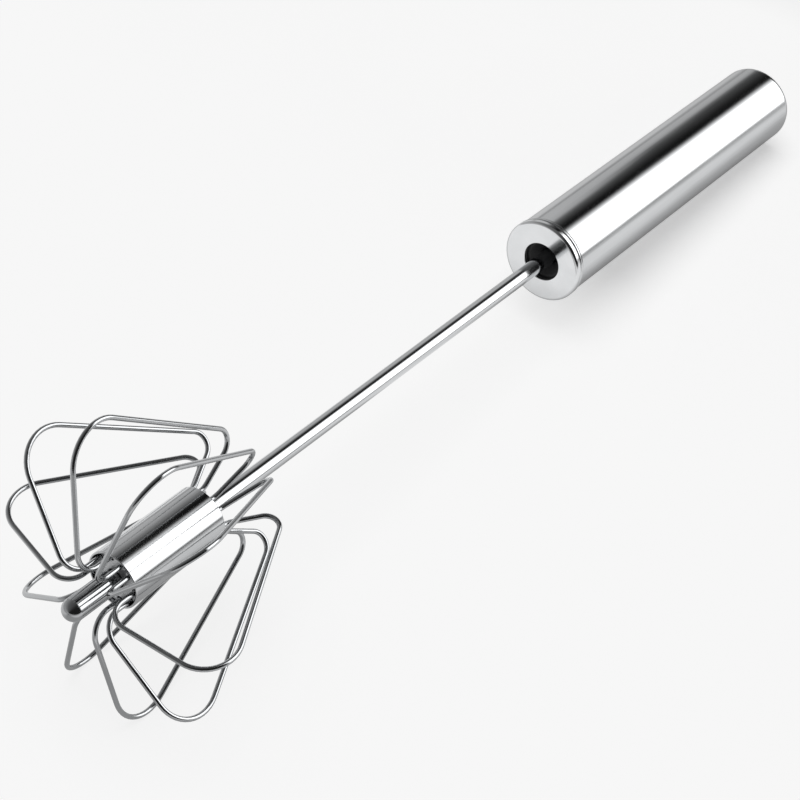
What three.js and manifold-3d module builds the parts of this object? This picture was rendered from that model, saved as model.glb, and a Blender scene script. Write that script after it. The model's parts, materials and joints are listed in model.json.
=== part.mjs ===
// A hand-push whisk: pushing the handle down spins the wire whisk, and a spring lifts the handle again.
//
// A twisted strip is fixed in the closed end of the handle and runs down through a slotted nut on top
// of the hollow shaft. When the handle is pushed down over the shaft, the strip turns the nut, the shaft,
// the hub and its ten wire loops.
//
// Every piece is made about one axis, local z, in millimetres. z = 0 is the mouth of the handle, +z runs
// to its closed end and -z to the foot of the whisk. At the end the whisk is laid down on a surface.

import * as THREE from 'three';
import { mergeVertices } from 'three/addons/utils/BufferGeometryUtils.js';
import Module from 'manifold-3d';

const GAP = 0.3; // left between pieces that touch

// Handle
const TUBE_RADIUS = 11.1;
const TUBE_WALL = 0.6;
const HANDLE_END = 111.5;
const END_CORNER = 2.6; // rounding of the closed end
const FLANGE_RADIUS = 11.4;
const FLANGE_FACE = -1.7;
const FLANGE_CORNER = 0.8; // rounding of its rim
const FLANGE_PLATE = 1.3;
const MOUTH_RADIUS = 5.3;

// Shaft and drive
const SHAFT_RADIUS = 2.05;
const SHAFT_BORE = 1.5;
const SHAFT_TOP = 10.6;
const SHAFT_FOOT = -170;
const STRIP_WIDTH = 2.4;
const STRIP_THICKNESS = 0.6;
const STRIP_FOOT = 5;
const STRIP_TANG = 101; // the strip is straight above this height
const STRIP_TOP = 108;
const LEAD = 32; // travel for one full turn of the whisk
const NUT_RADIUS = 4.2;
const BUSH_BACK = 7.5;

// Hub and foot
const HUB_RADIUS = 7.05;
const HUB_BORE = 6.55;
const HUB_TOP = -133.8;
const HUB_FOOT = -161.9;
const FOOT_RADIUS = 2.7;
const FOOT_END = -176;

// Wire loops
const LOOP_COUNT = 10;
const WIRE_RADIUS = 0.6;
const WIRE_SIDES = 10;
const ROOT_RADIUS = 5.6; // where the wires run into the hub, parallel to the shaft
const FIRST_AZIMUTH = 51.6;
const NUDGED_LOOP = 2; // this loop has been knocked sideways
const NUDGE = -7.2;
const OUT_OF_ROUND = 0.1; // the loops have been pressed a little oval, along this azimuth
const OVAL_AZIMUTH = 23;
const LEAN = 0.05; // and the widest part of the whisk leans a little towards this azimuth
const LEAN_AZIMUTH = -29;

const degrees = THREE.MathUtils.degToRad;

// Materials
const steel = (color, roughness) => new THREE.MeshStandardMaterial({ color, roughness, metalness: 1 });
const plastic = (color, roughness) => new THREE.MeshStandardMaterial({ color, roughness, metalness: 0 });
const POLISHED = steel(0xd3d5d8, 0.12);
const SATIN = steel(0xc4c6c9, 0.3);
const SPRING_STEEL = steel(0x9a9da1, 0.35);
const BLACK = plastic(0x141416, 0.45);
const NATURAL = plastic(0xe6e2d6, 0.5);

// Solids for cutting
const wasm = await Module();
wasm.setup();

function manifoldOf(geometry) {
  const bare = new THREE.BufferGeometry();
  bare.setAttribute('position', geometry.getAttribute('position').clone());
  bare.setIndex(geometry.index);
  const merged = mergeVertices(bare, 1e-4);
  return new wasm.Manifold(new wasm.Mesh({
    numProp: 3,
    vertProperties: merged.getAttribute('position').array,
    triVerts: new Uint32Array(merged.index.array),
  }));
}

function cut(geometry, ...tools) {
  const left = tools.reduce((rest, tool) => rest.subtract(manifoldOf(tool)), manifoldOf(geometry));
  const mesh = left.getMesh();
  const result = new THREE.BufferGeometry();
  result.setAttribute('position', new THREE.BufferAttribute(mesh.vertProperties, 3));
  result.setIndex(new THREE.BufferAttribute(mesh.triVerts, 1));
  const faceted = result.toNonIndexed();
  faceted.computeVertexNormals();
  return faceted;
}

// A round piece from an outline of [radius, z] points that runs up its outside.
function turned(outline, segments = 40) {
  const points = outline.map(([radius, z]) => new THREE.Vector2(radius, z));
  return new THREE.LatheGeometry(points, segments).rotateX(Math.PI / 2);
}

function ring(inner, outer, low, high, segments) {
  return turned([[outer, low], [outer, high], [inner, high], [inner, low], [outer, low]], segments);
}

function arc(radius, z, size, from, to, steps = 6) {
  return Array.from({ length: steps + 1 }, (_, i) => {
    const angle = degrees(from + (to - from) * i / steps);
    return [radius + size * Math.cos(angle), z + size * Math.sin(angle)];
  });
}

function bar(width, thickness, low, high, steps = 1) {
  const box = new THREE.BoxGeometry(width, thickness, high - low, 1, 1, steps);
  return box.translate(0, 0, (low + high) / 2);
}

// A bar twisted about z, one turn for each lead. It lies flat along x at the tang and above it.
function twistedBar(width, thickness, low, high, steps) {
  const shape = bar(width, thickness, low, high, steps);
  const corners = shape.getAttribute('position');
  const corner = new THREE.Vector3();
  const axis = new THREE.Vector3(0, 0, 1);
  for (let i = 0; i < corners.count; i++) {
    corner.fromBufferAttribute(corners, i);
    corner.applyAxisAngle(axis, 2 * Math.PI * Math.min(0, corner.z - STRIP_TANG) / LEAD);
    corners.setXYZ(i, corner.x, corner.y, corner.z);
  }
  return shape;
}

function crossPin(radius, length, z, segments) {
  return new THREE.CylinderGeometry(radius, radius, length, segments).translate(0, 0, z);
}

// A path given by its stations, each with a point and the direction there.
class StationPath extends THREE.Curve {
  constructor(stations) {
    super();
    this.stations = stations;
  }

  getUtoTmapping(u) {
    return u;
  }

  between(t, key) {
    const place = THREE.MathUtils.clamp(t, 0, 1) * (this.stations.length - 1);
    const low = Math.min(Math.floor(place + 1e-9), this.stations.length - 2);
    return this.stations[low][key].clone().lerp(this.stations[low + 1][key], place - low);
  }

  getPoint(t) {
    return this.between(t, 'point');
  }

  getTangent(t) {
    return this.between(t, 'direction').normalize();
  }
}

function wireAlong(stations, radius, sides) {
  const section = new THREE.Shape(Array.from({ length: sides }, (_, i) => {
    const angle = 2 * Math.PI * i / sides;
    return new THREE.Vector2(radius * Math.cos(angle), radius * Math.sin(angle));
  }));
  const extrudePath = new StationPath(stations);
  return new THREE.ExtrudeGeometry(section, { steps: stations.length - 1, extrudePath });
}

// ---- Handle ----

const END_FACE_RADIUS = TUBE_RADIUS - END_CORNER;
const TUBE_BORE = TUBE_RADIUS - TUBE_WALL;
const TUBE_MOUTH = GAP;
const endRim = arc(END_FACE_RADIUS, HANDLE_END - END_CORNER, END_CORNER, 0, 90);

function handleShell() {
  const beadTop = TUBE_MOUTH + 0.8;
  return turned([
    [0, HANDLE_END - TUBE_WALL],
    ...arc(END_FACE_RADIUS, HANDLE_END - END_CORNER, END_CORNER - TUBE_WALL, 90, 0),
    [TUBE_BORE, TUBE_MOUTH],
    [TUBE_RADIUS + 0.15, TUBE_MOUTH],
    [TUBE_RADIUS + 0.25, TUBE_MOUTH + 0.4],
    [TUBE_RADIUS + 0.1, beadTop],
    [TUBE_RADIUS - 0.1, beadTop + 0.15],
    [TUBE_RADIUS, beadTop + 0.4],
    ...endRim,
    [0, HANDLE_END],
  ], 48);
}

// A pressed cap that closes the mouth: a flat face with a rounded rim, and a skirt inside the tube.
function mouthFlange() {
  const corner = FLANGE_CORNER;
  const skirt = TUBE_BORE - GAP;
  const plate = FLANGE_FACE + FLANGE_PLATE;
  return turned([
    [MOUTH_RADIUS, FLANGE_FACE],
    ...arc(FLANGE_RADIUS - corner, FLANGE_FACE + corner, corner, -90, 0),
    [FLANGE_RADIUS, 0],
    [skirt, 0],
    [skirt, BUSH_BACK],
    [skirt - 0.8, BUSH_BACK],
    [skirt - 0.8, plate],
    [MOUTH_RADIUS, plate],
    [MOUTH_RADIUS, FLANGE_FACE],
  ], 48);
}

// The black bush behind the mouth, dished round the shaft.
function guideBush() {
  const outside = TUBE_BORE - GAP - 0.8 - GAP;
  const face = FLANGE_FACE + FLANGE_PLATE + GAP;
  const bore = SHAFT_RADIUS + GAP;
  return turned([
    [bore, face + 2.4],
    [MOUTH_RADIUS - 0.6, face],
    [outside, face],
    [outside, BUSH_BACK],
    [bore, BUSH_BACK],
    [bore, face + 2.4],
  ]);
}

const PLUG_PIN_Z = 104.5;
const PIN_RADIUS = 0.5;

// The plug in the closed end, slotted for the strip's tang and drilled across for its pin.
function endPlug() {
  const bossRadius = 5;
  const skirt = TUBE_BORE - GAP;
  const top = HANDLE_END - TUBE_WALL - GAP;
  const body = turned([
    [0, STRIP_TANG - 0.5],
    [bossRadius, STRIP_TANG - 0.5],
    [bossRadius, top - 3],
    [skirt, top - 3],
    [skirt, top - 2.4],
    [skirt - 2.4, top],
    [0, top],
  ]);
  const slot = bar(STRIP_WIDTH + 2 * GAP, STRIP_THICKNESS + 2 * GAP, STRIP_TANG - 2, STRIP_TOP + GAP);
  const pinHole = crossPin(PIN_RADIUS + GAP, 2 * skirt, PLUG_PIN_Z, 16);
  return cut(body, slot, pinHole);
}

function twistStrip() {
  const strip = twistedBar(STRIP_WIDTH, STRIP_THICKNESS, STRIP_FOOT, STRIP_TOP, 58);
  return cut(strip, crossPin(PIN_RADIUS + 0.2, 4, PLUG_PIN_Z, 16));
}

function stripPin() {
  return crossPin(PIN_RADIUS, 9, PLUG_PIN_Z, 16);
}

const NUT_TOP = 13.2;
const WASHER_TOP = NUT_TOP + GAP + 0.8;

// The spring that lifts the handle: open coils with a close coil at each end.
function returnSpring() {
  const wire = 0.4;
  const radius = 3.4;
  const turns = 14;
  const stepsPerTurn = 12;
  const low = WASHER_TOP + GAP + wire;
  const high = STRIP_TANG - 0.5 - GAP - wire;
  const closePitch = 2 * wire + GAP;
  const openPitch = (high - low - 2 * closePitch) / (turns - 2);
  const height = (turn) => low + closePitch * (Math.min(turn, 1) + Math.max(turn - turns + 1, 0))
    + openPitch * THREE.MathUtils.clamp(turn - 1, 0, turns - 2);
  const stations = Array.from({ length: turns * stepsPerTurn + 1 }, (_, i) => {
    const turn = i / stepsPerTurn;
    const angle = 2 * Math.PI * turn;
    const rise = (height(turn + 0.01) - height(turn - 0.01)) / 0.02;
    return {
      point: new THREE.Vector3(radius * Math.cos(angle), radius * Math.sin(angle), height(turn)),
      direction: new THREE.Vector3(
        -radius * Math.sin(angle),
        radius * Math.cos(angle),
        rise / (2 * Math.PI),
      ).normalize(),
    };
  });
  return wireAlong(stations, wire, 6);
}

function thrustWasher() {
  return ring(1.7, NUT_RADIUS, NUT_TOP + GAP, WASHER_TOP, 32);
}

// ---- Shaft ----

// The nut: a socket for the shaft below, and a twisted slot for the strip above.
function driveNut() {
  const foot = BUSH_BACK + GAP;
  const socket = SHAFT_RADIUS + GAP;
  const roof = SHAFT_TOP + GAP;
  const body = turned([
    [0, roof],
    [socket, roof],
    [socket, foot],
    [NUT_RADIUS - 0.4, foot],
    [NUT_RADIUS, foot + 0.4],
    [NUT_RADIUS, NUT_TOP - 0.4],
    [NUT_RADIUS - 0.4, NUT_TOP],
    [0, NUT_TOP],
  ], 32);
  const wide = STRIP_WIDTH + 2 * GAP;
  const thick = STRIP_THICKNESS + 2 * GAP;
  return cut(body, twistedBar(wide, thick, roof - 1, NUT_TOP + 1, 6));
}

function shaftTube() {
  return ring(SHAFT_BORE, SHAFT_RADIUS, SHAFT_FOOT, SHAFT_TOP, 24);
}

function footCap() {
  const socket = SHAFT_RADIUS + GAP;
  const floor = SHAFT_FOOT - GAP;
  const top = HUB_FOOT - GAP;
  return turned([
    ...arc(0, FOOT_END + FOOT_RADIUS, FOOT_RADIUS, -90, 0, 8),
    [FOOT_RADIUS, top],
    [socket, top],
    [socket, floor],
    [0, floor],
  ], 32);
}

function hubSleeve() {
  const bevel = 0.2;
  return turned([
    [HUB_BORE, HUB_FOOT],
    [HUB_RADIUS - bevel, HUB_FOOT],
    [HUB_RADIUS, HUB_FOOT + bevel],
    [HUB_RADIUS, HUB_TOP - bevel],
    [HUB_RADIUS - bevel, HUB_TOP],
    [HUB_BORE, HUB_TOP],
    [HUB_BORE, HUB_FOOT],
  ], 40);
}

// ---- Wire loops ----

const loopAzimuth = (number) =>
  degrees(FIRST_AZIMUTH + (number - 1) * 360 / LOOP_COUNT + (number === NUDGED_LOOP ? NUDGE : 0));
const loopNumbers = Array.from({ length: LOOP_COUNT }, (_, i) => i + 1);

// A collar that holds the wires against the sleeve, with an open groove for each one.
function groovedCollar(low, high) {
  const radius = HUB_BORE - GAP;
  const groove = WIRE_RADIUS + GAP;
  const mouth = Math.acos((radius ** 2 + ROOT_RADIUS ** 2 - groove ** 2) / (2 * radius * ROOT_RADIUS));
  const steps = 6;
  const outline = [];
  for (const azimuth of loopNumbers.map(loopAzimuth)) {
    const centre = new THREE.Vector2(ROOT_RADIUS, 0);
    const lip = new THREE.Vector2(radius, 0).rotateAround(new THREE.Vector2(), mouth).sub(centre);
    const open = lip.angle();
    for (let i = 0; i <= steps; i++) {
      const angle = -open - (2 * Math.PI - 2 * open) * i / steps;
      const point = new THREE.Vector2(groove * Math.cos(angle), groove * Math.sin(angle)).add(centre);
      outline.push(point.rotateAround(new THREE.Vector2(), azimuth));
    }
  }
  const shape = new THREE.Shape(outline);
  shape.holes.push(new THREE.Path().absarc(0, 0, SHAFT_RADIUS + GAP, 0, 2 * Math.PI, true));
  const depth = high - low;
  return new THREE.ExtrudeGeometry(shape, { depth, bevelEnabled: false, curveSegments: 12 })
    .translate(0, 0, low);
}

// The shape of every loop, as the corners of its centre line and the bend at each.
const LOOP_CORNERS = [
  { radius: ROOT_RADIUS, z: HUB_TOP - 8 },
  { radius: ROOT_RADIUS, z: -131.8, bend: 4.9 },
  { radius: 12.9, z: -119.4, bend: 3.4 },
  { radius: 39.7, z: -165, bend: 8.5 },
  { radius: ROOT_RADIUS, z: -170.4, bend: 4.7 },
  { radius: ROOT_RADIUS, z: HUB_FOOT + 7 },
];

// The centre line as flat stations: the ends, and an arc at each corner.
function loopOutline(stepsPerBend) {
  const corners = LOOP_CORNERS.map(({ radius, z }) => new THREE.Vector2(radius, z));
  const last = corners.length - 1;
  const along = (from, to) => corners[to].clone().sub(corners[from]).normalize();
  const stations = [{ point: corners[0], direction: along(0, 1) }];
  for (let i = 1; i < last; i++) {
    const before = along(i - 1, i);
    const after = along(i, i + 1);
    const turn = Math.atan2(before.cross(after), before.dot(after));
    const { bend } = LOOP_CORNERS[i];
    const start = corners[i].clone().addScaledVector(before, -bend * Math.tan(Math.abs(turn) / 2));
    const side = Math.sign(turn) * bend;
    const centre = start.clone().add(new THREE.Vector2(-before.y, before.x).multiplyScalar(side));
    for (let step = 0; step <= stepsPerBend; step++) {
      const angle = turn * step / stepsPerBend;
      const point = start.clone().rotateAround(centre, angle);
      const direction = before.clone().rotateAround(new THREE.Vector2(), angle);
      stations.push({ point, direction });
    }
  }
  stations.push({ point: corners[last], direction: along(last - 1, last) });
  return stations;
}

// Where a flat point of the loop at this azimuth lies, with the whisk's ovalness and lean.
function loopPoint(flat, azimuth) {
  const over = Math.max(flat.x - ROOT_RADIUS, 0);
  const oval = 2 * degrees(OVAL_AZIMUTH) - azimuth;
  return new THREE.Vector3(
    flat.x * Math.cos(azimuth) + over * OUT_OF_ROUND * Math.cos(oval),
    flat.x * Math.sin(azimuth) + over * OUT_OF_ROUND * Math.sin(oval),
    flat.y + over * LEAN * Math.cos(azimuth - degrees(LEAN_AZIMUTH)),
  );
}

function loopStations(number, stepsPerBend = 8) {
  const azimuth = loopAzimuth(number);
  return loopOutline(stepsPerBend).map(({ point, direction }) => {
    const here = loopPoint(point, azimuth);
    const onward = loopPoint(point.clone().addScaledVector(direction, 0.01), azimuth);
    return { point: here, direction: onward.sub(here).normalize() };
  });
}

// ---- Assembly ----

const whisk = new THREE.Group();

function add(name, geometry, material) {
  const mesh = new THREE.Mesh(geometry, material);
  mesh.name = name;
  whisk.add(mesh);
}

add('handle_shell', handleShell(), POLISHED);
add('mouth_flange', mouthFlange(), SATIN);
add('guide_bush', guideBush(), BLACK);
add('end_plug', endPlug(), NATURAL);
add('twist_strip', twistStrip(), SATIN);
add('strip_pin', stripPin(), SPRING_STEEL);
add('return_spring', returnSpring(), SPRING_STEEL);
add('thrust_washer', thrustWasher(), SATIN);
add('drive_nut', driveNut(), NATURAL);
add('shaft_tube', shaftTube(), POLISHED);
add('foot_cap', footCap(), POLISHED);
add('hub_sleeve', hubSleeve(), POLISHED);
add('upper_collar', groovedCollar(HUB_TOP - 8.5, HUB_TOP - 1), SATIN);
add('lower_collar', groovedCollar(HUB_FOOT + 0.8, HUB_FOOT + 8), SATIN);
for (const number of loopNumbers) {
  const name = 'wire_loop_' + String(number).padStart(2, '0');
  add(name, wireAlong(loopStations(number), WIRE_RADIUS, WIRE_SIDES), POLISHED);
}

// ---- Laid down ----

// Direction that points down when the whisk lies on two neighbouring loops and the rim of its closed end.
function downDirection(firstLoop, secondLoop) {
  const depth = (points, down) => Math.max(...points.map((point) => point.dot(down)));
  const first = loopStations(firstLoop, 12).map(({ point }) => point);
  const second = loopStations(secondLoop, 12).map(({ point }) => point);
  const spread = loopAzimuth(secondLoop) - loopAzimuth(firstLoop);
  let azimuth = loopAzimuth(firstLoop) + spread / 2;
  let tilt = 0;
  const down = new THREE.Vector3();
  for (let pass = 0; pass < 60; pass++) {
    down.set(Math.cos(azimuth) * Math.cos(tilt), Math.sin(azimuth) * Math.cos(tilt), Math.sin(tilt));
    const firstDepth = depth(first, down) + WIRE_RADIUS;
    const secondDepth = depth(second, down) + WIRE_RADIUS;
    const rimDepth = Math.max(...endRim.map(([r, z]) => r * Math.cos(tilt) + z * Math.sin(tilt)));
    azimuth += (secondDepth - firstDepth) / -40 * spread;
    tilt += ((firstDepth + secondDepth) / 2 - rimDepth) / (HANDLE_END - FOOT_END);
  }
  return down;
}

const RESTING_LOOPS = [5, 6];
const down = downDirection(...RESTING_LOOPS);
const up = down.clone().negate();
const forward = new THREE.Vector3(0, 0, 1).addScaledVector(down, -down.z).normalize();
const sideways = new THREE.Vector3().crossVectors(up, forward);
const lying = new THREE.Matrix4().makeBasis(forward, sideways, up).transpose();
whisk.quaternion.setFromRotationMatrix(lying);

// The origin is on the surface, under the middle of the whole object.
const assembly = new THREE.Group();
assembly.add(whisk);
assembly.updateMatrixWorld(true);
const bounds = new THREE.Box3().setFromObject(assembly, true);
const centre = bounds.getCenter(new THREE.Vector3());
whisk.position.set(-centre.x, -centre.y, -bounds.min.z);

export default assembly;
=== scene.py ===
# A hand-push whisk lying on a pale surface: a round steel handle, a thin shaft and a hub of ten
# bent wires.
#
# Every piece is made about the whisk's own axis, in millimetres, as (radius, z) outlines or as
# centre lines. z = 0 is the mouth of the handle, +z runs to its closed end and -z to the foot of
# the whisk. local_to_row then puts it in the row frame, in metres.

import json
import math

import bpy
from mathutils import Matrix, Vector
from mathutils.geometry import tessellate_polygon


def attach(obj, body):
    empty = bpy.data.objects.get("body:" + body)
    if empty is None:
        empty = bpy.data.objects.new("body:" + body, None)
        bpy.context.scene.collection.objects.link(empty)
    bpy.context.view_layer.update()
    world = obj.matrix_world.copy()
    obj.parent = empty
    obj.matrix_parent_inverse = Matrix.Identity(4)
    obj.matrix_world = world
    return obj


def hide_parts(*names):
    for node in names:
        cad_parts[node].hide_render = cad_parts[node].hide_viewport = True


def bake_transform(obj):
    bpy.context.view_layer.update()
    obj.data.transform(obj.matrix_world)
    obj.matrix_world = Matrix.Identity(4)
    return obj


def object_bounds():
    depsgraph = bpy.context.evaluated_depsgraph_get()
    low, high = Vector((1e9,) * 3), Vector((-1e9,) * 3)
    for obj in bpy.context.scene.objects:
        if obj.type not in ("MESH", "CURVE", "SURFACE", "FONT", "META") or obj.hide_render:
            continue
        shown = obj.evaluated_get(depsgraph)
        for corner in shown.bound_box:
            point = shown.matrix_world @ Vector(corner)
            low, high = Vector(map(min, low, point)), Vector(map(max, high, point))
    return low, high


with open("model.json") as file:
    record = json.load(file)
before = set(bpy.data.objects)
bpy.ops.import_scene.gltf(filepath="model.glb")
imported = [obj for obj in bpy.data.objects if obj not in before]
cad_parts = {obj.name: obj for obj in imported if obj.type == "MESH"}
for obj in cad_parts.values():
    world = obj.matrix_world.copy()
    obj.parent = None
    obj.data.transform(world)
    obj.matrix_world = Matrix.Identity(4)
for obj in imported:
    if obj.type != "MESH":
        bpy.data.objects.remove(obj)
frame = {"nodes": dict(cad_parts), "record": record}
cad_low, cad_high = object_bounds()
record = frame["record"]

MM = 0.001
GAP = 0.3  # left between pieces that touch
CRISP = math.radians(35)  # an edge that turns more than this stays crisp
ON_AXIS = 1e-6  # a radius below this is the axis itself
END_DOME = 0.35  # height of the dome on a wire's end, in wire radii

# Handle
TUBE_RADIUS = 11.1
TUBE_WALL = 0.6
TUBE_BORE = TUBE_RADIUS - TUBE_WALL
TUBE_MOUTH = GAP
HANDLE_END = 111.5
END_CORNER = 2.6
BEAD_LENGTH = 0.8  # of the rolled bead round the tube's mouth
BEAD_RISE = 0.25
GROOVE_DEPTH = 0.1  # of the fine groove behind the bead
FLANGE_RADIUS = 11.4
FLANGE_FACE = -1.7
FLANGE_CORNER = 0.8
MOUTH_RADIUS = 5.3
PLATE = 1.3
SKIRT = TUBE_BORE - GAP
SKIRT_WALL = 0.8
FUNNEL_DEPTH = 2.4  # of the bush's lead-in

# Shaft and drive
SHAFT_RADIUS = 2.05
SHAFT_BORE = 1.5
SHAFT_TOP = 10.6
SHAFT_FOOT = -170
STRIP_WIDTH = 2.4
STRIP_THICKNESS = 0.6
STRIP_FOOT = 5
STRIP_TANG = 101
STRIP_TOP = 108
LEAD = 32
NUT_RADIUS = 4.2
NUT_TOP = 13.2
BUSH_BACK = 7.5
WASHER_TOP = 14.3
WASHER_BORE = 1.7
PLUG_RADIUS = 5
PLUG_FOOT = STRIP_TANG - 0.5
PLUG_TOP = HANDLE_END - TUBE_WALL - GAP
PLUG_RIM = 3  # length of the wide rim that fills the tube
PLUG_RIM_BEVEL = 2.4
PIN_Z = 104.5
PIN_RADIUS = 0.5
PIN_HALF_LENGTH = 4.5

# Spring
SPRING_WIRE = 0.4
SPRING_RADIUS = 3.4
SPRING_TURNS = 14
SPRING_LOW = WASHER_TOP + GAP + SPRING_WIRE
SPRING_HIGH = PLUG_FOOT - GAP - SPRING_WIRE

# Hub and foot
HUB_RADIUS = 7.05
HUB_BORE = 6.55
HUB_TOP = -133.8
HUB_FOOT = -161.9
FOOT_RADIUS = 2.7
FOOT_END = -176

# Wire loops
LOOP_COUNT = 10
WIRE_RADIUS = 0.6
ROOT_RADIUS = 5.6
OUT_OF_ROUND = 0.1
OVAL_AZIMUTH = 23
LEAN = 0.05
LEAN_AZIMUTH = -29
FIRST_AZIMUTH = 51.6
LOOP_CORNERS = [  # radius, z and bend of each corner of a loop's centre line
    (ROOT_RADIUS, HUB_TOP - 8, 0),
    (ROOT_RADIUS, -131.8, 4.9),
    (12.9, -119.4, 3.4),
    (39.7, -165, 8.5),
    (ROOT_RADIUS, -170.4, 4.7),
    (ROOT_RADIUS, HUB_FOOT + 7, 0),
]


# ---- The whisk's own frame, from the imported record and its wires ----

def node_points(name):
    return [vertex.co.copy() for vertex in frame["nodes"][name].data.vertices]


def mount(name):
    return next(item for item in record["mounts"] if item["name"] == name)


AXIS = Vector(mount("handle_end_face")["axis"]).normalized()
MOUTH = Vector(mount("handle_end_face")["pos_m"]) - AXIS * HANDLE_END * MM


def root_direction(name):
    """The direction from the axis to where a wire runs into the hub."""
    near = []
    for point in node_points(name):
        out = point - MOUTH
        out -= AXIS * out.dot(AXIS)
        if out.length < (ROOT_RADIUS + 1) * MM:
            near.append(out)
    return sum(near, Vector()).normalized()


def loop_name(number):
    return f"wire_loop_{number:02d}"


first_root = root_direction(loop_name(1))
LOCAL_X = Matrix.Rotation(-math.radians(FIRST_AZIMUTH), 3, AXIS) @ first_root
LOCAL_Y = AXIS.cross(LOCAL_X)
local_turn = Matrix((LOCAL_X, LOCAL_Y, AXIS)).transposed().to_4x4()
local_to_row = Matrix.Translation(MOUTH) @ local_turn


def row_point(x, y, z):
    return local_to_row @ (Vector((x, y, z)) * MM)


def loop_azimuth(number):
    root = root_direction(loop_name(number))
    return math.atan2(root.dot(LOCAL_Y), root.dot(LOCAL_X))


# ---- Meshes ----

def new_object(name, data):
    made = bpy.data.objects.new(name, data)
    bpy.context.scene.collection.objects.link(made)
    return made


def row_mesh(name, points, faces):
    mesh = bpy.data.meshes.new(name)
    mesh.from_pydata([row_point(*point) for point in points], [], faces)
    return mesh


def piece(name, points, faces, material, body, stands_for, grain=None):
    """A piece from local points, in millimetres. grain is where each point lies in its own stock,
    with z along the direction that it was drawn or brushed in."""
    mesh = row_mesh(name, points, faces)
    mesh.validate()
    mesh.shade_smooth()
    mesh.set_sharp_from_angle(angle=CRISP)
    attribute = mesh.attributes.new("grain", "FLOAT_VECTOR", "POINT")
    values = [value * MM for point in (grain or points) for value in point]
    attribute.data.foreach_set("vector", values)
    mesh.materials.append(material)
    made = new_object(name, mesh)
    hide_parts(stands_for)
    if body:
        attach(made, body)
    return made


def rounded(corners, steps=5, hold=0.03):
    """An outline from (radius, z, bend) corners. Each bend becomes an arc, and a point that lies
    hold millimetres outside each end of the arc keeps the flats beside it flat."""
    outline = []
    count = len(corners)
    flat = [Vector(corner[:2]) for corner in corners]
    for i, corner in enumerate(corners):
        here, before, after = flat[i], flat[i - 1], flat[(i + 1) % count]
        bend = corner[2] if len(corner) > 2 else 0
        if not bend:
            outline.append(tuple(here))
            continue
        come, go = (here - before).normalized(), (after - here).normalized()
        turn = math.atan2(come.x * go.y - come.y * go.x, come.dot(go))
        reach = bend * math.tan(abs(turn) / 2)
        start = here - come * reach
        centre = start + Vector((-come.y, come.x)) * math.copysign(bend, turn)
        outline.append(tuple(start - come * hold))
        for step in range(steps + 1):
            around = Matrix.Rotation(turn * step / steps, 2)
            outline.append(tuple(centre + around @ (start - centre)))
        outline.append(tuple(here + go * (reach + hold)))
    return outline


def circle_point(radius, angle):
    return radius * math.cos(angle), radius * math.sin(angle)


def turned_mesh(outline, segments):
    """Points and faces of a round solid. Its outline closes on itself or runs from axis to axis."""
    points, rings = [], []
    for radius, z in outline:
        if radius < ON_AXIS:
            rings.append([len(points)] * segments)
            points.append((0, 0, z))
            continue
        rings.append(list(range(len(points), len(points) + segments)))
        for i in range(segments):
            points.append((*circle_point(radius, 2 * math.pi * i / segments), z))
    faces = []
    pairs = list(zip(rings, rings[1:]))
    if outline[0][0] > ON_AXIS:
        pairs.append((rings[-1], rings[0]))
    for low, high in pairs:
        for i in range(segments):
            j = (i + 1) % segments
            face = []
            for corner in (low[i], low[j], high[j], high[i]):
                if corner not in face:
                    face.append(corner)
            if len(face) > 2:
                faces.append(face)
    return points, faces


def turned(name, outline, material, body, segments=96):
    points, faces = turned_mesh(outline, segments)
    return piece(name + "_turned", points, faces, material, body, name)


def swept_mesh(stations, radius, sides):
    """Points, grain and faces of a round wire through (point, direction) stations."""
    points, grain, rings = [], [], []
    previous, direction = stations[0]
    side = direction.orthogonal().normalized()
    length = 0
    for place, onward in stations:
        side = (side - onward * side.dot(onward)).normalized()
        other = onward.cross(side)
        length += (place - previous).length
        previous = place
        rings.append(range(len(points), len(points) + sides))
        for i in range(sides):
            angle = 2 * math.pi * i / sides
            offset = (side * math.cos(angle) + other * math.sin(angle)) * radius
            points.append(tuple(place + offset))
            grain.append((*circle_point(radius, angle), length))
    faces = []
    for low, high in zip(rings, rings[1:]):
        for i in range(sides):
            j = (i + 1) % sides
            faces.append((low[i], low[j], high[j], high[i]))
    ends = ((rings[0], stations[0], -1), (rings[-1], stations[-1], 1))
    for ring, (place, onward), sign in ends:
        top = len(points)
        points.append(tuple(place + onward * sign * radius * END_DOME))
        grain.append((0, 0, length if sign > 0 else 0))
        for i in range(sides):
            j = (i + 1) % sides
            faces.append((ring[j], ring[i], top) if sign < 0 else (ring[i], ring[j], top))
    return points, grain, faces


# ---- Materials ----

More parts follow.
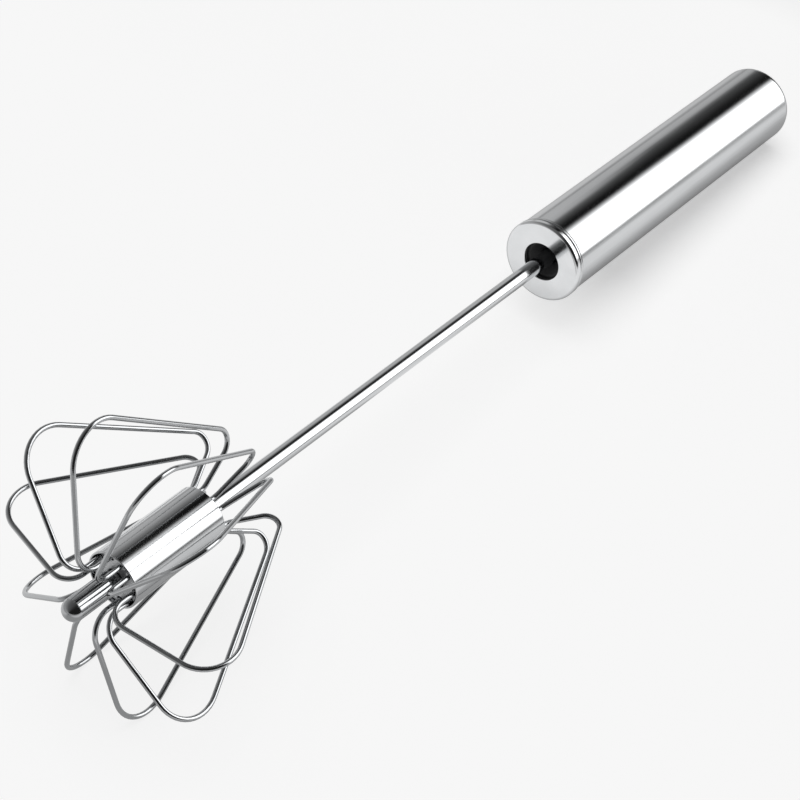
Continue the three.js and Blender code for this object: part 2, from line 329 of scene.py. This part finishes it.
class Look:
    """A node tree with short calls for adding nodes."""

    def __init__(self, tree):
        self.tree = tree
        self.tree.nodes.clear()

    def add(self, kind, inputs=None, **settings):
        made = self.tree.nodes.new(kind)
        for key, value in settings.items():
            setattr(made, key, value)
        for key, value in (inputs or {}).items():
            if isinstance(value, bpy.types.NodeSocket):
                self.tree.links.new(value, made.inputs[key])
            else:
                made.inputs[key].default_value = value
        return made

    def ramp(self, factor, stops):
        """stops are (position, grey or colour)."""
        made = self.add("ShaderNodeValToRGB", {"Fac": factor})
        elements = made.color_ramp.elements
        while len(elements) < len(stops):
            elements.new(1)
        for element, (position, colour) in zip(elements, stops):
            if not isinstance(colour, tuple):
                colour = (colour, colour, colour)
            element.position = position
            element.color = (*colour, 1)
        return made.outputs["Color"]

    def noise(self, vector, scale, detail=3, roughness=0.5):
        made = self.add("ShaderNodeTexNoise", {
            "Vector": vector, "Scale": scale, "Detail": detail, "Roughness": roughness})
        return made.outputs["Fac"]

    def stretched(self, vector, scale):
        made = self.add("ShaderNodeMapping", {"Vector": vector, "Scale": scale})
        return made.outputs["Vector"]

    def spread(self, factor, low, high, from_low=0.3, from_high=0.7):
        made = self.add("ShaderNodeMapRange", {
            "Value": factor, "From Min": from_low, "From Max": from_high,
            "To Min": low, "To Max": high})
        return made.outputs["Result"]

    def maths(self, operation, *values):
        made = self.add("ShaderNodeMath", operation=operation)
        for socket, value in zip(made.inputs, values):
            if isinstance(value, bpy.types.NodeSocket):
                self.tree.links.new(value, socket)
            else:
                socket.default_value = value
        return made.outputs["Value"]

    def mixed(self, first, second, share):
        """The sum of two values, where share is the first one's part of it."""
        parts = self.maths("MULTIPLY", first, share), self.maths("MULTIPLY", second, 1 - share)
        return self.maths("ADD", *parts)

    def product(self, first, second):
        made = self.add("ShaderNodeVectorMath", {0: first, 1: second}, operation="MULTIPLY")
        return made.outputs["Vector"]

    def fade(self, amount, first, second):
        """From the first colour at 0 to the second at 1."""
        made = self.add("ShaderNodeMixRGB", {"Fac": amount, 1: first, 2: second})
        return made.outputs["Color"]

    def bump(self, height, depth):
        made = self.add("ShaderNodeBump", {"Height": height, "Distance": depth, "Strength": 1.0})
        return made.outputs["Normal"]

    def surface(self, inputs):
        shader = self.add("ShaderNodeBsdfPrincipled", inputs)
        self.add("ShaderNodeOutputMaterial", {"Surface": shader.outputs[0]})


def new_look(name):
    material = bpy.data.materials.new(name)
    material.use_nodes = True
    return material, Look(material.node_tree)


def drawn_steel(name, dark, light, smooth, rough, streak_width, streak_length, streak_depth):
    """Steel with fine lines along z of its grain, sized in millimetres, and faint smudges."""
    material, look = new_look(name)
    grain = look.add("ShaderNodeAttribute", attribute_name="grain").outputs["Vector"]
    across, along = 1 / (streak_width * MM), 1 / (streak_length * MM)
    lines = look.stretched(grain, (across, across, along))
    streaks = look.noise(lines, scale=1, detail=4, roughness=0.6)
    smudges = look.noise(look.stretched(grain, (130, 130, 45)), scale=1)
    tone = look.mixed(streaks, smudges, 0.55)
    look.surface({
        "Base Color": look.ramp(tone, [(0.32, dark), (0.66, light)]),
        "Metallic": 1.0,
        "Roughness": look.spread(tone, smooth, rough, 0.35, 0.65),
        "Normal": look.bump(streaks, streak_depth * MM),
    })
    return material


def pressed_steel(name, dark, light, smooth, rough):
    """Satin steel with faint turning rings about the axis and a fine random tooth."""
    material, look = new_look(name)
    grain = look.add("ShaderNodeAttribute", attribute_name="grain").outputs["Vector"]
    parts = look.add("ShaderNodeSeparateXYZ", {"Vector": grain}).outputs
    squares = look.maths("POWER", parts["X"], 2.0), look.maths("POWER", parts["Y"], 2.0)
    radius = look.maths("SQRT", look.maths("ADD", *squares))
    ringed = look.add("ShaderNodeCombineXYZ", {"X": radius, "Y": parts["Z"]})
    rings = look.noise(ringed.outputs["Vector"], scale=5200, detail=2)
    tooth = look.noise(grain, scale=2600, detail=4, roughness=0.65)
    smudges = look.noise(grain, scale=190)
    height = look.mixed(rings, tooth, 0.6)
    look.surface({
        "Base Color": look.ramp(smudges, [(0.3, dark), (0.7, light)]),
        "Metallic": 1.0,
        "Roughness": look.spread(tooth, smooth, rough),
        "Normal": look.bump(height, 0.002 * MM),
    })
    return material


def moulded(name, dark, light, smooth, rough, subsurface=0.0):
    """Plastic with the fine texture of its mould and faint flow marks."""
    material, look = new_look(name)
    place = look.add("ShaderNodeTexCoord").outputs["Object"]
    texture = look.noise(place, scale=3800, detail=4, roughness=0.6)
    flow = look.noise(look.stretched(place, (60, 240, 240)), scale=1)
    look.surface({
        "Base Color": look.ramp(flow, [(0.3, dark), (0.7, light)]),
        "Roughness": look.spread(texture, smooth, rough),
        "Normal": look.bump(texture, 0.006 * MM),
        "Subsurface Weight": subsurface,
        "Subsurface Scale": 0.5 * MM,
    })
    return material


POLISHED = drawn_steel(
    "polished_steel", dark=(0.60, 0.61, 0.62), light=(0.68, 0.69, 0.70),
    smooth=0.08, rough=0.15, streak_width=0.22, streak_length=30, streak_depth=0.0012)
HUB_STEEL = drawn_steel(
    "hub_steel", dark=(0.54, 0.55, 0.56), light=(0.70, 0.71, 0.72),
    smooth=0.08, rough=0.16, streak_width=0.2, streak_length=40, streak_depth=0.003)
FOOT_STEEL = drawn_steel(
    "foot_steel", dark=(0.45, 0.46, 0.47), light=(0.57, 0.58, 0.59),
    smooth=0.08, rough=0.16, streak_width=0.2, streak_length=30, streak_depth=0.002)
WIRE = drawn_steel(
    "wire_steel", dark=(0.43, 0.44, 0.45), light=(0.57, 0.58, 0.59),
    smooth=0.09, rough=0.17, streak_width=0.12, streak_length=8, streak_depth=0.0008)
SPRING_STEEL = drawn_steel(
    "spring_steel", dark=(0.36, 0.37, 0.38), light=(0.47, 0.48, 0.49),
    smooth=0.24, rough=0.38, streak_width=0.1, streak_length=6, streak_depth=0.001)
SATIN = pressed_steel(
    "satin_steel", dark=(0.74, 0.75, 0.76), light=(0.80, 0.81, 0.82), smooth=0.09, rough=0.16)
# The collar steel's pale colour is partly the steel's own and partly painted light, which stands in
# for the light that reaches the collar faces deep inside the sleeve.
COLLAR_STEEL_PAINTED_LIGHT = pressed_steel(
    "collar_steel", dark=(0.76, 0.77, 0.78), light=(0.88, 0.89, 0.90), smooth=0.34, rough=0.44)
BLACK = moulded(
    "black_plastic", dark=(0.012, 0.012, 0.013), light=(0.02, 0.02, 0.021),
    smooth=0.5, rough=0.68)
NYLON = moulded(
    "natural_nylon", dark=(0.80, 0.78, 0.71), light=(0.88, 0.86, 0.80),
    smooth=0.38, rough=0.5, subsurface=0.2)


# ---- Handle ----

def handle_shell():
    inner_corner = END_CORNER - TUBE_WALL
    bead_end = TUBE_MOUTH + BEAD_LENGTH
    return rounded([
        (0, HANDLE_END - TUBE_WALL),
        (TUBE_BORE, HANDLE_END - TUBE_WALL, inner_corner),
        (TUBE_BORE, TUBE_MOUTH, 0.1),
        (TUBE_RADIUS + BEAD_RISE, TUBE_MOUTH, 0.3),
        (TUBE_RADIUS + BEAD_RISE, bead_end, 0.3),
        (TUBE_RADIUS - GROOVE_DEPTH, bead_end, 0.1),
        (TUBE_RADIUS - GROOVE_DEPTH, bead_end + 0.25, 0.1),
        (TUBE_RADIUS, bead_end + 0.35, 0.1),
        (TUBE_RADIUS, HANDLE_END, END_CORNER),
        (0, HANDLE_END),
    ], steps=9)


turned("handle_shell", handle_shell(), POLISHED, "handle", 160)
turned("mouth_flange", rounded([
    (MOUTH_RADIUS, FLANGE_FACE, 0.25),
    (FLANGE_RADIUS, FLANGE_FACE, FLANGE_CORNER),
    (FLANGE_RADIUS, 0, 0.2),
    (SKIRT, 0, 0.1),
    (SKIRT, BUSH_BACK, 0.2),
    (SKIRT - SKIRT_WALL, BUSH_BACK, 0.2),
    (SKIRT - SKIRT_WALL, FLANGE_FACE + PLATE, 0.3),
    (MOUTH_RADIUS, FLANGE_FACE + PLATE, 0.25),
], steps=8), SATIN, "handle", 160)

bush_face = FLANGE_FACE + PLATE + GAP
bush_bore = SHAFT_RADIUS + GAP
bush_radius = SKIRT - SKIRT_WALL - GAP
turned("guide_bush", rounded([
    (bush_bore, bush_face + FUNNEL_DEPTH, 0.3),
    (MOUTH_RADIUS - 0.6, bush_face, 0.5),
    (bush_radius, bush_face, 0.3),
    (bush_radius, BUSH_BACK, 0.3),
    (bush_bore, BUSH_BACK, 0.2),
]), BLACK, "handle")


# ---- Spring ----

def spring_stations():
    steps_per_turn = 28
    close_pitch = 2 * SPRING_WIRE + GAP
    open_turns = SPRING_TURNS - 2
    open_pitch = (SPRING_HIGH - SPRING_LOW - 2 * close_pitch) / open_turns

    def height(turn):
        closed = min(turn, 1) + max(turn - SPRING_TURNS + 1, 0)
        opened = min(max(turn - 1, 0), open_turns)
        return SPRING_LOW + close_pitch * closed + open_pitch * opened

    def place(turn):
        return Vector((*circle_point(SPRING_RADIUS, 2 * math.pi * turn), height(turn)))

    stations = []
    step = 0.005
    for i in range(SPRING_TURNS * steps_per_turn + 1):
        turn = i / steps_per_turn
        onward = place(turn + step) - place(turn - step)
        stations.append((place(turn), onward.normalized()))
    return stations


points, grain, faces = swept_mesh(spring_stations(), SPRING_WIRE, sides=12)
spring = piece("return_spring_coil", points, faces, SPRING_STEEL,
               None, "return_spring", grain)
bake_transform(spring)


# ---- Strip, plug, nut and washer ----

def twisted_mesh(width, thickness, corner, low, high, step):
    """A flat bar with rounded edges, twisted one turn for each lead below its tang."""
    section = rounded([
        (-width / 2, -thickness / 2, corner),
        (width / 2, -thickness / 2, corner),
        (width / 2, thickness / 2, corner),
        (-width / 2, thickness / 2, corner),
    ], steps=3, hold=0.01)
    count = math.ceil((high - low) / step)
    points, grain, faces = [], [], []
    for i in range(count + 1):
        z = low + (high - low) * i / count
        turn = Matrix.Rotation(2 * math.pi * min(0, z - STRIP_TANG) / LEAD, 2)
        for corner_point in section:
            x, y = turn @ Vector(corner_point)
            points.append((x, y, z))
            grain.append((*corner_point, z))
    sides = len(section)
    for i in range(count):
        for j in range(sides):
            k = (j + 1) % sides
            low_side, high_side = i * sides, (i + 1) * sides
            faces.append((low_side + j, low_side + k, high_side + k, high_side + j))
    faces.append(tuple(reversed(range(sides))))
    faces.append(tuple(range(count * sides, (count + 1) * sides)))
    return points, grain, faces


def cut(target, points, faces):
    """Takes the solid with these points and faces out of the target's mesh."""
    tool = new_object("cutter", row_mesh("cutter", points, faces))
    modifier = target.modifiers.new("cut", "BOOLEAN")
    modifier.operation = "DIFFERENCE"
    modifier.solver = "EXACT"
    modifier.object = tool
    graph = bpy.context.evaluated_depsgraph_get()
    result = bpy.data.meshes.new_from_object(
        target.evaluated_get(graph), preserve_all_data_layers=True, depsgraph=graph)
    target.modifiers.clear()
    target.data = result
    result.set_sharp_from_angle(angle=CRISP)
    bpy.data.objects.remove(tool)


def cross_pin(radius, half_length):
    """Points, grain and faces of a pin across the axis, along local y."""
    chamfer = 0.12
    grain, faces = turned_mesh([
        (0, -half_length),
        (radius - chamfer, -half_length),
        (radius, -half_length + chamfer),
        (radius, half_length - chamfer),
        (radius - chamfer, half_length),
        (0, half_length),
    ], 32)
    return [(x, z, PIN_Z - y) for x, y, z in grain], grain, faces


def cut_pin_hole(target, radius, half_length):
    points, _, faces = cross_pin(radius, half_length)
    cut(target, points, faces)


def cut_strip_slot(target, corner, low, high, step):
    """Cuts the twisted slot that the strip runs in, with a gap all round."""
    width, thickness = STRIP_WIDTH + 2 * GAP, STRIP_THICKNESS + 2 * GAP
    points, _, faces = twisted_mesh(width, thickness, corner, low, high, step)
    cut(target, points, faces)


points, grain, faces = twisted_mesh(
    STRIP_WIDTH, STRIP_THICKNESS, corner=0.12, low=STRIP_FOOT, high=STRIP_TOP, step=1.0)
strip = piece("twist_strip_rolled", points, faces, SATIN,
              "handle", "twist_strip", grain)
cut_pin_hole(strip, PIN_RADIUS + 0.2, 2)

points, grain, faces = cross_pin(PIN_RADIUS, PIN_HALF_LENGTH)
piece("strip_pin_drawn", points, faces, SPRING_STEEL,
      "handle", "strip_pin", grain)

plug = turned("end_plug", rounded([
    (0, PLUG_FOOT),
    (PLUG_RADIUS, PLUG_FOOT, 0.4),
    (PLUG_RADIUS, PLUG_TOP - PLUG_RIM, 0.5),
    (SKIRT, PLUG_TOP - PLUG_RIM, 0.25),
    (SKIRT, PLUG_TOP - PLUG_RIM_BEVEL, 0.2),
    (SKIRT - PLUG_RIM_BEVEL, PLUG_TOP, 0.6),
    (0, PLUG_TOP),
]), NYLON, "handle")
cut_strip_slot(plug, corner=0.2, low=STRIP_TANG - 2, high=STRIP_TOP + GAP, step=1.5)
cut_pin_hole(plug, PIN_RADIUS + GAP, SKIRT)

turned("thrust_washer", rounded([
    (WASHER_BORE, NUT_TOP + GAP, 0.12),
    (NUT_RADIUS, NUT_TOP + GAP, 0.2),
    (NUT_RADIUS, WASHER_TOP, 0.2),
    (WASHER_BORE, WASHER_TOP, 0.12),
]), SATIN, "press_carriage", 64)

nut_foot = BUSH_BACK + GAP
nut_socket = SHAFT_RADIUS + GAP
nut_roof = SHAFT_TOP + GAP
nut = turned("drive_nut", rounded([
    (0, nut_roof),
    (nut_socket, nut_roof, 0.2),
    (nut_socket, nut_foot, 0.2),
    (NUT_RADIUS, nut_foot, 0.5),
    (NUT_RADIUS, NUT_TOP, 0.5),
    (0, NUT_TOP),
]), NYLON, "whisk", 64)
cut_strip_slot(nut, corner=0.15, low=nut_roof - 1, high=NUT_TOP + 1, step=0.5)


# ---- Shaft, hub and foot ----

turned("shaft_tube", rounded([
    (SHAFT_BORE, SHAFT_FOOT, 0.1),
    (SHAFT_RADIUS, SHAFT_FOOT, 0.15),
    (SHAFT_RADIUS, SHAFT_TOP, 0.15),
    (SHAFT_BORE, SHAFT_TOP, 0.1),
]), POLISHED, "whisk", 48)

foot_socket = SHAFT_RADIUS + GAP
foot_top = HUB_FOOT - GAP
turned("foot_cap", rounded([
    (0, FOOT_END),
    (FOOT_RADIUS, FOOT_END, FOOT_RADIUS - 0.05),
    (FOOT_RADIUS, foot_top, 0.2),
    (foot_socket, foot_top, 0.1),
    (foot_socket, SHAFT_FOOT - GAP, 0.3),
    (0, SHAFT_FOOT - GAP),
], steps=12), FOOT_STEEL, "whisk", 64)

turned("hub_sleeve", rounded([
    (HUB_BORE, HUB_FOOT, 0.15),
    (HUB_RADIUS, HUB_FOOT, 0.25),
    (HUB_RADIUS, HUB_TOP, 0.25),
    (HUB_BORE, HUB_TOP, 0.15),
]), HUB_STEEL, "whisk", 128)


def collar_outline(inset):
    """The outline of a collar with an open groove for each wire, drawn in by inset."""
    radius = HUB_BORE - GAP - inset
    groove = WIRE_RADIUS + GAP + inset
    squares = radius ** 2 + ROOT_RADIUS ** 2 - groove ** 2
    reach = math.acos(squares / (2 * radius * ROOT_RADIUS))
    lip = Vector((radius * math.cos(reach) - ROOT_RADIUS, radius * math.sin(reach)))
    opening = math.atan2(lip.y, lip.x)
    groove_steps, gap_steps = 14, 4
    outline = []
    for number in range(1, LOOP_COUNT + 1):
        turn = Matrix.Rotation(loop_azimuth(number), 2)
        for i in range(groove_steps + 1):
            angle = -opening - (2 * math.pi - 2 * opening) * i / groove_steps
            across, aside = circle_point(groove, angle)
            outline.append(turn @ Vector((ROOT_RADIUS + across, aside)))
        gap_start = math.atan2(outline[-1].y, outline[-1].x)
        following = loop_azimuth(number % LOOP_COUNT + 1) - reach
        gap = (following - gap_start) % (2 * math.pi)
        for i in range(1, gap_steps):
            outline.append(Vector(circle_point(radius, gap_start + gap * i / gap_steps)))
    return outline


def collar(name, low, high):
    """A core for the sleeve's end, with a round bore and a groove for each wire."""
    chamfer = 0.18
    sides = 48
    bore = [Vector(circle_point(1, 2 * math.pi * i / sides)) for i in range(sides)]
    levels = [(low, chamfer), (low + chamfer, 0), (high - chamfer, 0), (high, chamfer)]
    points, faces = [], []
    outer, inner = [], []
    for z, inset in levels:
        outline = collar_outline(inset)
        outer.append(range(len(points), len(points) + len(outline)))
        points += [(p.x, p.y, z) for p in outline]
        size = SHAFT_RADIUS + GAP + inset
        inner.append(range(len(points), len(points) + len(bore)))
        points += [(p.x * size, p.y * size, z) for p in bore]
    for rings, outward in ((outer, True), (inner, False)):
        for low_ring, high_ring in zip(rings, rings[1:]):
            for i in range(len(low_ring)):
                j = (i + 1) % len(low_ring)
                face = (low_ring[i], low_ring[j], high_ring[j], high_ring[i])
                faces.append(face if outward else face[::-1])
    for level, up in ((0, False), (-1, True)):
        outside, inside = list(outer[level]), list(inner[level])
        flat = outside + inside
        loops = [[Vector(points[i]) for i in outside], [Vector(points[i]) for i in inside]]
        for triangle in tessellate_polygon(loops):
            face = [flat[i] for i in triangle]
            a, b, c = (Vector(points[i]) for i in face)
            if ((b - a).cross(c - a).z > 0) != up:
                face.reverse()
            faces.append(face)
    piece(name + "_grooved", points, faces, COLLAR_STEEL_PAINTED_LIGHT, "whisk", name)


collar("upper_collar", HUB_TOP - 8.5, HUB_TOP - 1)
collar("lower_collar", HUB_FOOT + 0.8, HUB_FOOT + 8)


# ---- Wire loops ----

def loop_point(flat, azimuth):
    """Where a flat point of the loop at this azimuth lies, with the whisk's ovalness and lean."""
    over = max(flat.x - ROOT_RADIUS, 0)
    oval = 2 * math.radians(OVAL_AZIMUTH) - azimuth
    return Vector((
        flat.x * math.cos(azimuth) + over * OUT_OF_ROUND * math.cos(oval),
        flat.x * math.sin(azimuth) + over * OUT_OF_ROUND * math.sin(oval),
        flat.y + over * LEAN * math.cos(azimuth - math.radians(LEAN_AZIMUTH)),
    ))


def wire_loop(number):
    azimuth = loop_azimuth(number)
    centre_line = rounded(LOOP_CORNERS, steps=14, hold=0.08)
    places = [loop_point(Vector(flat), azimuth) for flat in centre_line]
    stations = []
    for i, place in enumerate(places):
        before, after = places[max(i - 1, 0)], places[min(i + 1, len(places) - 1)]
        come, go = place - before, after - place
        if not come.length:
            come = go
        if not go.length:
            go = come
        stations.append((place, (come.normalized() + go.normalized()).normalized()))
    points, grain, faces = swept_mesh(stations, WIRE_RADIUS, sides=18)
    name = loop_name(number)
    piece(name + "_wire", points, faces, WIRE, "whisk", name, grain)


for number in range(1, LOOP_COUNT + 1):
    wire_loop(number)


# ---- Surface, light and camera ----

WHITE = (1, 1, 1, 1)

# The surface gives some light by itself, so that its shadows stay faint. It gives more under the
# shaft and the wires, which stand clear of it, than under the handle. Where it gives more, it throws
# back less of the lamp's light, and none at a glow of OPEN_FLOOR, so that it looks evenly bright.
OPEN_FLOOR = 0.93
HANDLE_GLOW = 0.42
RAISED_GLOW = 0.815
RAISED_TO_HANDLE = (28, 62)  # x where the one glow gives way to the other
FLOOR_SIZE = 3000  # from the origin to each edge
# The surface's colour and glow are painted brightest round the middle below and darker further out,
# by the list under it: a painted pool of light.
LIGHT_POOL_MIDDLE = -35  # x of the middle of its brightest part
LIGHT_POOL_FALL_OFF = [(232, 1.0), (336, 0.68), (800, 0.52)]  # (distance from the middle, brightness)
SURFACE_ROUGHNESS = 0.85
# In the steel's reflections, the surface has painted shade close beside each stretch of the
# whisk, for its shadow there, by these (y, brightness) lists, which reach from -NEAR to NEAR.
NEAR = 80
SHADE_BESIDE_HANDLE = [
    (-60, 0.98), (-40, 0.92), (-30, 0.76), (-20, 0.52), (-10, 0.38), (0, 0.34), (12, 0.44),
    (25, 0.52), (40, 0.62), (60, 0.70), (80, 0.72),
]
SHADE_BESIDE_SHAFT = [
    (-80, 0.86), (-50, 0.80), (-30, 0.72), (-16, 0.50), (4, 0.42), (14, 0.60), (30, 1.0),
]
SHADE_BESIDE_WHISK = [(-80, 0.88), (-62, 0.60), (-48, 0.48), (10, 0.46), (30, 0.66), (45, 0.84)]
# where each stretch fades in, from the first x to the second
HANDLE_FROM = (4, 34)
SHAFT_FROM = (-16, -30)
WHISK_FROM = (-80, -95)


def floor():
    material, look = new_look("pale_surface")
    place = look.add("ShaderNodeTexCoord").outputs["Object"]
    parts = look.add("ShaderNodeSeparateXYZ", {"Vector": place}).outputs
    # painted pool of light: colour and glow fall off with the distance from the middle
    middle = (LIGHT_POOL_MIDDLE * MM, 0, 0)
    out = look.add("ShaderNodeVectorMath", {0: place, 1: middle}, operation="DISTANCE")
    furthest = LIGHT_POOL_FALL_OFF[-1][0]
    reach = look.spread(out.outputs["Value"], 0, 1, 0, furthest * MM)
    painted_light_and_shade = look.ramp(reach, [(distance / furthest, value) for distance, value in LIGHT_POOL_FALL_OFF])
    # painted shade: only the steel's mirrored rays see the surface darker beside the whisk
    beside = look.spread(parts["Y"], 0, 1, -NEAR * MM, NEAR * MM)
    reflected_shade = WHITE
    for stops, (start, end) in (
            (SHADE_BESIDE_HANDLE, HANDLE_FROM), (SHADE_BESIDE_SHAFT, SHAFT_FROM), (SHADE_BESIDE_WHISK, WHISK_FROM)):
        there = look.spread(parts["X"], 0, 1, start * MM, end * MM)
        dim = look.ramp(beside, [((y + NEAR) / (2 * NEAR), value) for y, value in stops])
        reflected_shade = look.fade(there, reflected_shade, dim)
    mirrored = look.add("ShaderNodeLightPath").outputs["Is Glossy Ray"]
    painted_light_and_shade = look.product(painted_light_and_shade, look.fade(mirrored, WHITE, reflected_shade))
    glow = look.spread(parts["X"], RAISED_GLOW, HANDLE_GLOW, *(x * MM for x in RAISED_TO_HANDLE))
    lit = look.spread(glow, 1, 0, HANDLE_GLOW, OPEN_FLOOR)
    mottle = look.ramp(look.noise(place, scale=9), [(0.3, 0.91), (0.7, 0.93)])
    look.surface({
        "Base Color": look.product(look.product(mottle, painted_light_and_shade), lit),
        "Roughness": SURFACE_ROUGHNESS,
        "Specular IOR Level": 0.0,
        "Emission Color": painted_light_and_shade,
        "Emission Strength": glow,
        "Normal": look.bump(look.noise(place, scale=900), 0.01 * MM),
    })
    size = FLOOR_SIZE * MM
    corners = [(-size, -size, 0), (size, -size, 0), (size, size, 0), (-size, size, 0)]
    mesh = bpy.data.meshes.new("floor")
    mesh.from_pydata(corners, [], [(0, 1, 2, 3)])
    mesh.materials.append(material)
    made = new_object("floor", mesh)


floor()

# The room that the steel mirrors, in lists of (angle about the whisk's axis, brightness): 0 is the
# far side's horizon, 90 is overhead and 180 is the near side's horizon. A tall bright screen stands
# on the near side, towards the closed end of the handle, with a grey wall on the far side, and the
# room is dim everywhere else. There is a list for each stretch of the room, from the whisk's end of
# it to the handle's.
FIRST_ANGLE, LAST_ANGLE = -90, 270
SCREEN = [(84, 0.010), (88, 0.14), (94, 0.75), (100, 1.7), (107, 2.4)]
WHISK_SIDE = [
    (-90, 0.52), (5, 0.48), (30, 0.30), (55, 0.16), (90, 0.10), (108, 0.05), (125, 0.02),
    (181, 0.015), (184, 0.5), (270, 0.5),
]
MIDDLE = [
    (-90, 0.60), (12, 0.56), (30, 0.52), (36, 0.42), (46, 0.26), (56, 0.16), (62, 0.06),
    (67, 0.02), (74, 0.008), *SCREEN, (160, 2.4), (168, 1.5), (173, 0.12), (180, 0.10),
    (184, 0.60), (270, 0.60),
]
SCREEN_FOOT = [
    (166, 2.4), (170, 1.5), (174, 0.18), (177, 0.10), (182, 0.20), (186, 0.60), (270, 0.60),
]
MOUTH_SIDE = [
    (-90, 0.60), (12, 0.57), (30, 0.59), (42, 0.58), (47, 0.44), (51, 0.25), (56, 0.145),
    (62, 0.085), (68, 0.045), (73, 0.020), (78, 0.007), *SCREEN, *SCREEN_FOOT,
]
HANDLE_SIDE = [
    (-90, 0.60), (12, 0.54), (23, 0.51), (30, 0.40), (34, 0.23), (39, 0.13), (47, 0.075),
    (56, 0.050), (63, 0.033), (70, 0.018), (76, 0.010), *SCREEN, *SCREEN_FOOT,
]
# where each gives way to the next, as the part of a direction that points along the handle
WHISK_TO_MIDDLE = (0.33, 0.44)
MIDDLE_TO_MOUTH = (0.56, 0.68)
MOUTH_TO_HANDLE = (0.732, 0.759)
DARK_END = (0.90, 0.965)
DARK_END_SHARE = 0.12  # what is left of the light straight beyond the handle's end
AMBIENT = 0.17
BACKDROP = 0.95


def studio_world():
    world = bpy.data.worlds.new("studio")
    bpy.context.scene.world = world
    world.use_nodes = True
    look = Look(world.node_tree)
    direction = look.add("ShaderNodeTexCoord").outputs["Generated"]
    far = Vector((0, 0, 1)).cross(AXIS).normalized()
    overhead = AXIS.cross(far)
    strongest = max(value for _, value in SCREEN)

    def part_along(vector):
        made = look.add("ShaderNodeVectorMath", {0: direction, 1: vector}, operation="DOT_PRODUCT")
        return made.outputs["Value"]

    def bands(stops):
        span = LAST_ANGLE - FIRST_ANGLE
        return look.ramp(factor, [
            ((at - FIRST_ANGLE) / span, value / strongest) for at, value in stops])

    def background(colour, strength):
        made = look.add("ShaderNodeBackground", {"Color": colour, "Strength": strength})
        return made.outputs["Background"]

    def shader_fade(amount, first, second):
        made = look.add("ShaderNodeMixShader", {"Fac": amount, 1: first, 2: second})
        return made.outputs["Shader"]

    angle = look.maths("ARCTAN2", part_along(overhead), part_along(far))
    degrees = look.maths("MULTIPLY", angle, 180 / math.pi)
    wrapped = look.maths("WRAP", degrees, LAST_ANGLE, FIRST_ANGLE)
    factor = look.spread(wrapped, 0, 1, FIRST_ANGLE, LAST_ANGLE)
    along = part_along(AXIS)
    room = bands(WHISK_SIDE)
    for stops, edge in (
            (MIDDLE, WHISK_TO_MIDDLE),
            (MOUTH_SIDE, MIDDLE_TO_MOUTH),
            (HANDLE_SIDE, MOUTH_TO_HANDLE)):
        room = look.fade(look.spread(along, 0, 1, *edge), room, bands(stops))
    end = look.spread(along, 1, DARK_END_SHARE, *DARK_END)
    path = look.add("ShaderNodeLightPath").outputs
    mirrored = background(room, look.maths("MULTIPLY", end, strongest))
    seen = shader_fade(
        path["Is Camera Ray"], background(WHITE, AMBIENT), background(WHITE, BACKDROP))
    # the bright screen isn't thrown back onto the surface by the steel
    direct = look.maths("LESS_THAN", path["Diffuse Depth"], 0.5)
    glossy = look.maths("MULTIPLY", path["Is Glossy Ray"], direct)
    look.add("ShaderNodeOutputWorld", {"Surface": shader_fade(glossy, seen, mirrored)})


studio_world()

LAMP_TILT = 6  # degrees from overhead, towards the far side
LAMP_SPREAD = 48  # degrees across
LAMP_STRENGTH = 1.2


def overhead_lamp():
    """A wide soft light that the steel doesn't mirror."""
    data = bpy.data.lights.new("overhead", "SUN")
    data.energy = LAMP_STRENGTH
    data.angle = math.radians(LAMP_SPREAD)
    lamp = new_object("overhead", data)
    lamp.rotation_euler = (-math.radians(LAMP_TILT), 0, 0)
    lamp.visible_glossy = False


overhead_lamp()

# in degrees and millimetres
CAMERA_AZIMUTH = -57.55
CAMERA_ELEVATION = 46.77
CAMERA_ROLL = 8.52
CAMERA_DISTANCE = 495.0
CAMERA_AIM = Vector((-37.15, -5.83, -10.95))  # from the middle of the CAD box
LENS = 92.72
SENSOR_WIDTH = 36


def make_camera():
    azimuth, elevation = math.radians(CAMERA_AZIMUTH), math.radians(CAMERA_ELEVATION)
    flat = math.cos(elevation)
    back = Vector((math.sin(azimuth) * flat, -math.cos(azimuth) * flat, math.sin(elevation)))
    level = Vector((0, 0, 1)).cross(back).normalized()
    upright = back.cross(level)
    roll = math.radians(CAMERA_ROLL)
    up = upright * math.cos(roll) - level * math.sin(roll)
    right = up.cross(back)
    aim = (cad_low + cad_high) / 2 + CAMERA_AIM * MM
    data = bpy.data.cameras.new("camera")
    data.lens = LENS
    data.sensor_width = SENSOR_WIDTH
    data.clip_start = 0.01
    camera = new_object("camera", data)
    turn = Matrix((right, up, back)).transposed().to_4x4()
    camera.matrix_world = Matrix.Translation(aim + back * CAMERA_DISTANCE * MM) @ turn
    bpy.context.scene.camera = camera


make_camera()
bpy.context.scene.view_settings.view_transform = "Standard"
